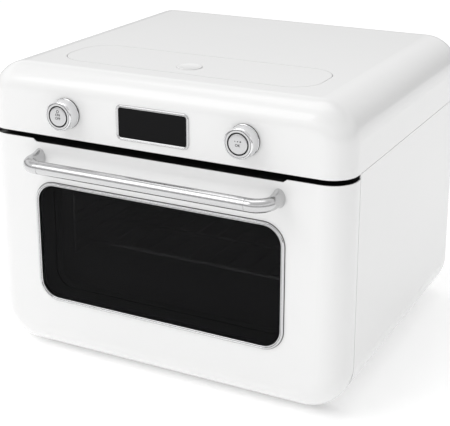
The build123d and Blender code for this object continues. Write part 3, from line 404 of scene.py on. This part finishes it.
class OVEN_OT_finish_working_parts(bpy.types.Operator):
    """Gives each working part its own finish"""
    bl_idname = "oven.finish_working_parts"
    bl_label = "Finish the working parts"

    def execute(self, context):
        finish = finish_of(context)
        white = enamel("white enamel", finish.enamel)
        chrome = polished("chrome plate", finish.chrome)
        steel = brushed("cavity steel", (0.5, 0.5, 0.5), 0.35, (1, 0.05, 1), 260.0)
        zinc = brushed("zinc plate", (0.5, 0.51, 0.52), 0.42, (1, 1, 1), 60.0)
        black = moulded("black moulding", (0.012, 0.012, 0.012))
        grey = moulded("grey moulding", (0.06, 0.06, 0.065))
        black_paint = moulded("black paint", (0.01, 0.01, 0.01), 0.4, 300.0)
        board = moulded("green laminate", (0.02, 0.12, 0.05), 0.35, 200.0)
        heater = heat_darkened("browned rod", (0.12, 0.11, 0.1))
        table = {
            white: ("casing", "top_cover", "door_shell", "tank_lid"),
            chrome: ("wire_shelf", "shelf_rack_left", "shelf_rack_right"),
            steel: ("cavity_liner", "fan_baffle", "door_inner_panel", "temperature_probe", "steam_pipe"),
            zinc: ("rear_panel", "base_pan", "cavity_rails", "deck_plate", "blower_housing",
                   "hinge_bracket_left", "hinge_bracket_right", "handle_screws", "hinge_pins",
                   "lid_hinge_rod"),
            black: ("cord_gland", "encoder_left", "encoder_right", "blower_wheel", "display_module",
                    "water_pump", "power_components"),
            black_paint: ("front_frame", "door_top_cap"),
            grey: ("tank_bay",),
            board: ("control_board", "power_board"),
            heater: ("ring_heater", "grill_element"),
            rubbery("black silicone", (0.018, 0.018, 0.018)): ("door_gasket",),
            rubbery("clear silicone", (0.6, 0.6, 0.57)): ("water_hoses",),
            fibrous("fibre blanket", (0.62, 0.58, 0.45)): ("insulation",),
            brushed("cast aluminium", (0.6, 0.6, 0.61), 0.5, (1, 1, 1), 90.0):
                ("steam_generator", "convection_fan", "fan_motor"),
            moulded("unglazed ceramic", (0.75, 0.73, 0.68), 0.8, 400.0): ("lamp_holder",),
            smoked("smoked door glass", finish.glass): ("outer_glass",),
            glazed("inner glass", (0.9, 0.9, 0.9), 1.0): ("inner_glass",),
            glazed("lamp glass", (0.85, 0.85, 0.8), 0.6, 0.25): ("lamp_lens",),
            glazed("display glass", (0.008, 0.008, 0.0085), 0.0, 0.03, 0.05): ("display_window",),
            glazed("tank plastic", (0.75, 0.85, 0.9), 0.7, 0.08): ("water_tank",),
        }
        for material, nodes in table.items():
            for node in nodes:
                cad_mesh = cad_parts[node].data
                cad_mesh.materials.clear()
                cad_mesh.materials.append(material)
        return {"FINISHED"}


class OVEN_OT_handle(bpy.types.Operator):
    """Makes the handle's bar, and the two ends that bend back and flare into posts"""
    bl_idname = "oven.handle"
    bl_label = "Make the handle"

    def execute(self, context):
        finish, sizes = finish_of(context), sizes_of(context)
        satin = polished("satin chrome", finish.satin, roughness=0.2)
        radius, joint = sizes.bar_radius, 0.45 * MM
        middle = centre_of("handle_bar")
        reach = limits("handle_bar")[1][0]
        # From the middle of an end face, over the shallow joint groove, to the full bar
        half = [(0, 0), (radius - joint, 0), (radius - joint, joint), (radius, 1.6 * joint),
                (radius, 2 * joint), (radius, 8 * joint)]
        profile = [(r, -reach + x) for r, x in half] + [(r, reach - x) for r, x in reversed(half)]
        bar = turned("grip_bar", profile, (0, middle[1], middle[2]), "x", satin, "door",
                     sizes.steps)
        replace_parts(bar, "handle_bar")
        door_face = limits("door_shell")[0][1]
        ends = [self.end_shape(side, reach, middle, door_face, sizes) for side in (-1, 1)]
        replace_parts(gather("grip_ends", ends, satin, "door"), "handle_ends")
        return {"FINISHED"}

    def end_shape(self, side, reach, middle, door_face, sizes):
        """An ellipse carried along a straight run, a quarter turn and a post: the post's half sides
        grow from the bar's radius to the foot's as the square of the way along it."""
        bend, radius = sizes.elbow_radius, sizes.bar_radius
        straight, turn_steps, post_steps = 4 * MM, 22, 14
        start = reach + straight
        turn = np.radians(np.linspace(0, 90, turn_steps))
        post = np.linspace(0, 1, post_steps)[1:]
        corner_y = middle[1] + bend
        # The run starts a little thinner than the bar, which leaves the joint's fine line
        lead = np.array([0.955, 0.955, 1.0, 1.0])
        run = reach + np.array([0, 0.1, 0.3, 0.6]) * MM
        x = np.concatenate([run, start + bend * np.sin(turn), np.full(len(post), start + bend)])
        y = np.concatenate([[middle[1]] * len(run), corner_y - bend * np.cos(turn),
                            corner_y + (door_face - corner_y) * post])
        along_x = np.concatenate([np.ones(len(run)), np.cos(turn), np.zeros(len(post))])
        along_y = np.concatenate([np.zeros(len(run)), np.sin(turn), np.ones(len(post))])
        even = np.concatenate([radius * lead, radius * np.ones(turn_steps)])
        half_width = np.concatenate([even, radius + (sizes.foot_width / 2 - radius) * post ** 2])
        half_height = np.concatenate([even, radius + (sizes.foot_height / 2 - radius) * post ** 2])
        path = np.stack([side * x, y, np.full_like(x, middle[2])], -1)
        tangents = np.stack([side * along_x, along_y, np.zeros_like(x)], -1)
        rings = swept(path, tangents, half_width, half_height, (0, 0, 1), sizes.steps)
        faces = grid_faces(len(path), sizes.steps, close_columns=True)
        return capped(rings, faces, len(path), sizes.steps, path[[0, -1]])


class OVEN_OT_knobs(bpy.types.Operator):
    """Makes the two bright knob rings and the still buttons in their middles, with plain marks"""
    bl_idname = "oven.knobs"
    bl_label = "Make the knobs and buttons"

    def execute(self, context):
        finish, sizes = finish_of(context), sizes_of(context)
        chrome = bpy.data.materials["chrome plate"]
        # Painted shade: near-black for the faces in gaps and grooves where shade falls
        dark = moulded("painted groove shade", (0.012, 0.012, 0.012))
        ink = moulded("printed grey", (0.03, 0.03, 0.032), 0.6)
        bright, face_band, shadow = 0, 1, 2
        bore, well, round_over = 6.05 * MM, 4.5 * MM, 0.5 * MM
        # Each row: millimetres in from the rim and forward of the back, and the band that starts there
        # The shadow band is painted shade: near-black on the base flange, the fine groove round the face,
        # the bore and the seat round the button
        wall = [(0, 0, shadow), (0, 1.0, shadow), (0.25, 1.3, bright), (0.7, 1.5, bright),
                (0.75, 14.6, bright), (0.9, 15.9, bright), (1.4, 16.9, bright), (2.1, 17.35, bright),
                (2.8, 17.5, bright), (2.95, 17.2, shadow), (3.2, 17.2, shadow), (3.35, 17.5, face_band)]
        for side in ("left", "right"):
            middle = centre_of(f"knob_{side}")
            low, high = limits(f"knob_{side}")
            face, back, rim = low[1], high[1], (high[0] - low[0]) / 2
            faced = spun(f"spun face {side}", finish.satin, 0.3, middle[0], middle[2])
            seat = sizes.button_radius + sizes.groove
            outer = [(rim - inset * MM, back - height * MM) for inset, height, _ in wall]
            inner = [(seat + round_over, face + 0.08 * MM), (seat, face + round_over),
                     (seat, face + well), (bore, face + well)]
            profile = [(bore, back), *outer, *inner]
            bands = [shadow, *[band for _, _, band in wall], *[shadow] * len(inner)]
            ring = turned(f"ring_{side}", profile, (middle[0], 0, middle[2]), "y", [chrome, faced, dark],
                          f"knob_{side}", sizes.steps, closed=True, bands=bands)
            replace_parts(ring, f"knob_{side}")
            self.make_button(side, faced, ink, sizes)
        return {"FINISHED"}

    def make_button(self, side, faced, ink, sizes):
        """A shallow dished face with a rounded edge, on a short skirt and a stem, and its marks."""
        low, high = limits(f"button_{side}")
        middle = centre_of(f"button_{side}")
        front, stem, wide = low[1], 3 * MM, sizes.button_radius
        profile = [(0, -0.12), (wide * 0.35, -0.11), (wide * 0.7, -0.06), (wide - 1.0 * MM, 0.02),
                   (wide - 0.45 * MM, 0.16), (wide - 0.12 * MM, 0.45), (wide, 0.9), (wide, 2.4),
                   (stem, 2.4)]
        points = [(r, front + h * MM) for r, h in profile] + [(stem, high[1]), (0, high[1])]
        centre = (middle[0], 0, middle[2])
        button = turned(f"push_{side}", points, centre, "y", faced, f"button_{side}",
                        sizes.steps)
        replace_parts(button, f"button_{side}")
        print_face, print_depth, letter_height = front - 0.16 * MM, 0.1 * MM, 4.4 * MM
        # Each word with its baseline's height over the button's middle, in millimetres
        words = {"left": (("ON", 0.9), ("OFF", -3.6)), "right": (("OK", -2.9),)}[side]
        for number, (word, height) in enumerate(words):
            self.write(word, (middle[0], print_face, middle[2] + height * MM), letter_height, ink,
                       f"word_{side}_{number}", f"button_{side}")
        if side == "left":
            hole, edge, rise = 1.25 * MM, 1.95 * MM, 6.6 * MM
            ring = [(hole, 0), (edge, 0), (edge, print_depth), (hole, print_depth)]
            points = [(r, print_face + depth) for r, depth in ring]
            turned("ring_mark", points, (middle[0], 0, middle[2] + rise), "y", ink, "button_left",
                   32, closed=True)
        else:
            dots, rise = [], 3.2 * MM
            for x, size in ((-3.4, 0.6), (0, 0.75), (3.4, 0.95)):
                shape = [(0, 0), (size * MM, 0), (size * MM, print_depth), (0, print_depth)]
                place = (middle[0] + x * MM, print_face, middle[2] + rise)
                dots.append(turned_shape(shape, place, "y", 20))
            gather("dot_marks", dots, ink, "button_right")

    def write(self, word, place, size, ink, name, body):
        """A word in the plain built-in face, made a thin solid and stood up to face the front."""
        half_thickness, stroke_gain = 0.05 * MM, 0.08 * MM
        curve = bpy.data.curves.new(name, "FONT")
        curve.body = word
        curve.size = size
        curve.align_x = "CENTER"
        curve.extrude = half_thickness
        curve.offset = stroke_gain
        typed = bpy.data.objects.new(name + "_typed", curve)
        bpy.context.scene.collection.objects.link(typed)
        bpy.context.view_layer.update()
        evaluated = typed.evaluated_get(bpy.context.evaluated_depsgraph_get())
        flat = bpy.data.meshes.new_from_object(evaluated)
        spots = np.empty(len(flat.vertices) * 3)
        flat.vertices.foreach_get("co", spots)
        spots = spots.reshape(-1, 3)
        stood = np.stack([spots[:, 0], -spots[:, 2], spots[:, 1]], -1) + np.array(place)
        faces = [tuple(polygon.vertices) for polygon in flat.polygons]
        bpy.data.objects.remove(typed)
        bpy.data.meshes.remove(flat)
        creased(outward(put(name, stood, faces, ink, body)))


class OVEN_OT_bright_trim(bpy.types.Operator):
    """Makes the window's ring and the display's bezel, each with a bead and a step, and a thin dark line
    of painted shade round the window's ring
    """
    bl_idname = "oven.bright_trim"
    bl_label = "Make the bright trim"

    def execute(self, context):
        sizes = sizes_of(context)
        chrome = polished("trim chrome", finish_of(context).satin, 0.1)
        # Near-black for a line of painted shade round the window
        shadow_line = rubbery("painted shadow line", (0.02, 0.02, 0.02))
        # Sections in millimetres: out from the node's outline, and forward of its back
        low, high = limits("window_trim")
        section = [(0, 0), (0, -1.3), (-0.3, -2.0), (-0.9, -2.7), (-1.6, -3.0), (-2.3, -2.8),
                   (-2.75, -2.2), (-2.9, -1.5), (-3.15, -1.45), (-3.3, -1.9), (-3.7, -2.1),
                   (-4.2, -1.9), (-4.5, -1.3), (-4.5, 0)]
        ring = self.make_frame("window_ring", low, high, sizes.window_corner, section, chrome, "door",
                               "window_trim")
        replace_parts(ring, "window_trim")
        # A thin near-black line round the ring's outer edge: painted shade in the gap between the trim and
        # the door
        bead = [(0, 0), (0.55, 0), (0.6, -0.35), (0.3, -0.6), (0, -0.5)]
        self.make_frame("window_shadow_line", low, high, sizes.window_corner, bead, shadow_line, "door",
                        "window_trim")
        low, high = limits("display_bezel")
        section = [(0, 0), (0, -0.8), (-0.3, -1.4), (-0.9, -1.75), (-1.5, -1.8), (-1.9, -1.6),
                   (-2.1, -1.1), (-2.3, -1.0), (-2.6, -1.25), (-3.1, -1.1), (-3.4, -0.6), (-3.4, 0)]
        ring = self.make_frame("display_ring", low, high, sizes.display_corner, section, chrome,
                               "oven_body", "display_bezel")
        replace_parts(ring, "display_bezel")
        return {"FINISHED"}

    def make_frame(self, name, low, high, corner, section, material, body, slot):
        """A section carried round the rounded rectangle that the box from low to high shows in front."""
        loop, normals = rounded_loop(high[0], low[2], high[2], corner)
        points = [(out * MM, high[1] + y * MM) for out, y in section]
        return framed(name, loop, normals, points, material, body)


class OVEN_OT_small_turned_pieces(bpy.types.Operator):
    """Makes the lid's button, the feet and the screw heads at the back"""
    bl_idname = "oven.small_turned_pieces"
    bl_label = "Make the small turned pieces"

    def execute(self, context):
        steps = sizes_of(context).steps
        white = bpy.data.materials["white enamel"]
        # The lid's button: a dished top, a plain wall, the flange that holds it in, and a stem
        low, high = limits("lid_button")
        middle = centre_of("lid_button")
        flange, stem = 2 * MM, 3 * MM
        wide, top = (high[0] - low[0]) / 2 - flange, high[2]
        dish = [(0, -0.55), (wide * 0.4, -0.5), (wide * 0.75, -0.3), (wide - 1.6 * MM, -0.06),
                (wide - 0.9 * MM, 0), (wide - 0.35 * MM, -0.15), (wide - 0.05 * MM, -0.5), (wide, -0.9),
                (wide, -3.3), (wide + flange, -3.3), (wide + flange, -5.2), (stem, -5.2)]
        profile = [(r, top + height * MM) for r, height in dish] + [(stem, low[2]), (0, low[2])]
        button = turned("lid_push", profile, (middle[0], middle[1], 0), "z", white, "lid_button",
                        steps)
        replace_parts(button, "lid_button")
        # The feet: a hollowed sole, a rounded edge and a fine ring, with a plug up into the shell
        rubber = rubbery("foot rubber", (0.018, 0.018, 0.018))
        low, high = limits("feet")
        radius, plug, shell = 12 * MM, 2 * MM, limits("casing")[0][2]
        sole = [(0, 0.9), (5.0, 0.9), (5.6, 0), (10.2, 0), (11.4, 0.45), (12, 1.5), (12, 3.4),
                (11.55, 3.7), (12, 4.0)]
        foot = [(r * MM, height * MM) for r, height in sole]
        foot += [(radius, shell), (plug, shell), (plug, high[2]), (0, high[2])]
        places = [(x, y, 0) for x in (low[0] + radius, high[0] - radius)
                  for y in (low[1] + radius, high[1] - radius)]
        feet = gather("rubber_feet", [turned_shape(foot, place, "z", 40) for place in places], rubber,
                      "oven_body")
        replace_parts(feet, "feet")
        # The screws at the back: a domed pan head on its shank
        low, high = limits("rear_screws")
        head, shank, seat = 4.2 * MM, 2 * MM, high[1] - 2 * MM
        dome = [(0, 2.0), (1.4, 1.97), (2.6, 1.75), (3.5, 1.25), (4.05, 0.6), (4.2, 0.1), (4.2, 0), (2, 0)]
        pan = [(r * MM, seat + height * MM) for r, height in dome] + [(shank, low[1]), (0, low[1])]
        places = [(x, 0, z) for x in (low[0] + head, high[0] - head)
                  for z in (low[2] + head, high[2] - head)]
        zinc = bpy.data.materials["zinc plate"]
        screws = gather("pan_screws", [turned_shape(pan, place, "y", 32) for place in places], zinc,
                        "oven_body")
        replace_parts(screws, "rear_screws")
        return {"FINISHED"}


class OVEN_OT_stage(bpy.types.Operator):
    """Sets the floor, the lights, the world and the camera"""
    bl_idname = "oven.stage"
    bl_label = "Set the stage"

    def execute(self, context):
        finish = finish_of(context)
        reach = 12.0
        span = np.linspace(-reach, reach, 3)
        x, y = np.meshgrid(span, span, indexing="ij")
        points = np.stack([x, y, np.zeros_like(x)], -1)  # a flat square grid at floor level
        mesh = bpy.data.meshes.new("studio_floor")
        mesh.from_pydata(points.reshape(-1, 3).tolist(), [], grid_faces(3, 3))
        made, tree, surface = shader("studio floor", finish.floor, roughness=0.9,
                                     Emission_Color=(1, 1, 1, 1), Emission_Strength=0.25,
                                     Specular_IOR_Level=0.1)
        vary(tree, surface, pattern(tree, 2.0), "Roughness", 0.88, 0.92)
        mesh.materials.append(made)
        floor = bpy.data.objects.new("studio_floor", mesh)
        context.scene.collection.objects.link(floor)
        context.scene.view_settings.view_transform = "Standard"
        self.light_world(context)
        self.hang_light(context, "key", (-1.1, -1.7, 2.0), size=1.2, power=9.5)
        self.hang_light(context, "top", (-0.2, 0.2, 2.4), size=1.6, power=9.0)
        self.place_camera(context)
        return {"FINISHED"}

    def hang_light(self, context, name, place, size, power):
        """A square soft light that faces the middle of the oven."""
        aim = Vector((0, 0, 0.2))
        data = bpy.data.lights.new(name, "AREA")
        data.shape = "SQUARE"
        data.size = size
        data.energy = power
        lamp = bpy.data.objects.new(name, data)
        lamp.location = place
        lamp.rotation_euler = (aim - Vector(place)).to_track_quat("-Z", "Y").to_euler()
        context.scene.collection.objects.link(lamp)

    def light_world(self, context):
        """White to the camera, a soft slope of light to matt faces, and a striped room to glossy ones."""
        world = bpy.data.worlds.new("studio")
        context.scene.world = world
        world.use_nodes = True
        tree = world.node_tree
        tree.nodes.clear()
        output = tree.nodes.new("ShaderNodeOutputWorld")
        where = tree.nodes.new("ShaderNodeTexCoord")
        path = tree.nodes.new("ShaderNodeLightPath")
        # Stops of (share of the way to the bright side, grey)
        slope = [(0.0, 0.3), (0.5, 0.62), (1.0, 1.0)]
        stripes = [(0.0, 0.7), (0.44, 0.6), (0.5, 0.3), (0.56, 0.4), (0.66, 0.9), (0.74, 1.1), (0.82, 0.6),
                   (1.0, 0.85)]
        soft = self.sky(tree, where, (-0.62, -0.45, 0.64), slope)
        room = self.sky(tree, where, (0, 0, 1), stripes)
        seen = tree.nodes.new("ShaderNodeBackground")
        glossy = tree.nodes.new("ShaderNodeMixShader")
        final = tree.nodes.new("ShaderNodeMixShader")
        seen.inputs["Color"].default_value = (1, 1, 1, 1)
        tree.links.new(path.outputs["Is Glossy Ray"], glossy.inputs["Fac"])
        tree.links.new(soft, glossy.inputs[1])
        tree.links.new(room, glossy.inputs[2])
        tree.links.new(path.outputs["Is Camera Ray"], final.inputs["Fac"])
        tree.links.new(glossy.outputs["Shader"], final.inputs[1])
        tree.links.new(seen.outputs["Background"], final.inputs[2])
        tree.links.new(final.outputs["Shader"], output.inputs["Surface"])

    def sky(self, tree, where, towards, stops):
        """A background whose grey follows how far a direction leans towards the bright side."""
        lean = tree.nodes.new("ShaderNodeVectorMath")
        lean.operation = "DOT_PRODUCT"
        lean.inputs[1].default_value = Vector(towards).normalized()
        share = tree.nodes.new("ShaderNodeMapRange")
        share.inputs["From Min"].default_value = -1
        ramp = tree.nodes.new("ShaderNodeValToRGB")
        while len(ramp.color_ramp.elements) < len(stops):
            ramp.color_ramp.elements.new(0.5)
        brightest = max(grey for _, grey in stops)
        for element, (position, grey) in zip(ramp.color_ramp.elements, stops):
            element.position = position
            element.color = (*[grey / brightest] * 3, 1)
        background = tree.nodes.new("ShaderNodeBackground")
        background.inputs["Strength"].default_value = brightest
        tree.links.new(where.outputs["Generated"], lean.inputs[0])
        tree.links.new(lean.outputs["Value"], share.inputs["Value"])
        tree.links.new(share.outputs["Result"], ramp.inputs["Fac"])
        tree.links.new(ramp.outputs["Color"], background.inputs["Color"])
        return background.outputs["Background"]

    def place_camera(self, context):
        """The photograph's view, from a fit of the body's outline: its place is measured from the
        door's face and the body's underside, and its angles are in radians."""
        image_width, focal_pixels = 450, 1131.0
        right, ahead, above = 0.66281, 1.10551, 0.71508
        yaw, pitch = 0.4729, 0.3059
        data = bpy.data.cameras.new("photo_view")
        data.sensor_width = 36
        data.lens = focal_pixels / image_width * data.sensor_width
        data.shift_y = -0.15
        camera = bpy.data.objects.new("photo_view", data)
        door_face, underside = limits("door_shell")[0][1], limits("casing")[0][2]
        camera.location = (right, door_face - ahead, underside + above)
        camera.rotation_euler = (math.pi / 2 - pitch, 0, yaw)
        context.scene.collection.objects.link(camera)
        context.scene.camera = camera


OPERATORS = (OVEN_OT_finish_working_parts, OVEN_OT_handle, OVEN_OT_knobs, OVEN_OT_bright_trim,
             OVEN_OT_small_turned_pieces, OVEN_OT_stage)


class OVEN_PT_panel(bpy.types.Panel):
    """Lists the steps that dress the oven"""
    bl_label = "Countertop steam oven"
    bl_idname = "OVEN_PT_panel"
    bl_space_type = "VIEW_3D"
    bl_region_type = "UI"
    bl_category = "Oven"

    def draw(self, context):
        """One button for each operator."""
        for step in OPERATORS:
            self.layout.operator(step.bl_idname)


CLASSES = (OvenSizes, OvenFinish, *OPERATORS, OVEN_PT_panel)


def register():
    """Adds the classes and hangs the sizes and colours on the scene."""
    for kind in CLASSES:
        bpy.utils.register_class(kind)
    bpy.types.Scene.oven_sizes = PointerProperty(type=OvenSizes)
    bpy.types.Scene.oven_finish = PointerProperty(type=OvenFinish)


def unregister():
    """Takes away what register added."""
    del bpy.types.Scene.oven_finish
    del bpy.types.Scene.oven_sizes
    for kind in reversed(CLASSES):
        bpy.utils.unregister_class(kind)


def main():
    """Runs the operators in order."""
    register()
    for step in OPERATORS:
        group, action = step.bl_idname.split(".")
        getattr(getattr(bpy.ops, group), action)()


if __name__ == "__main__":
    main()
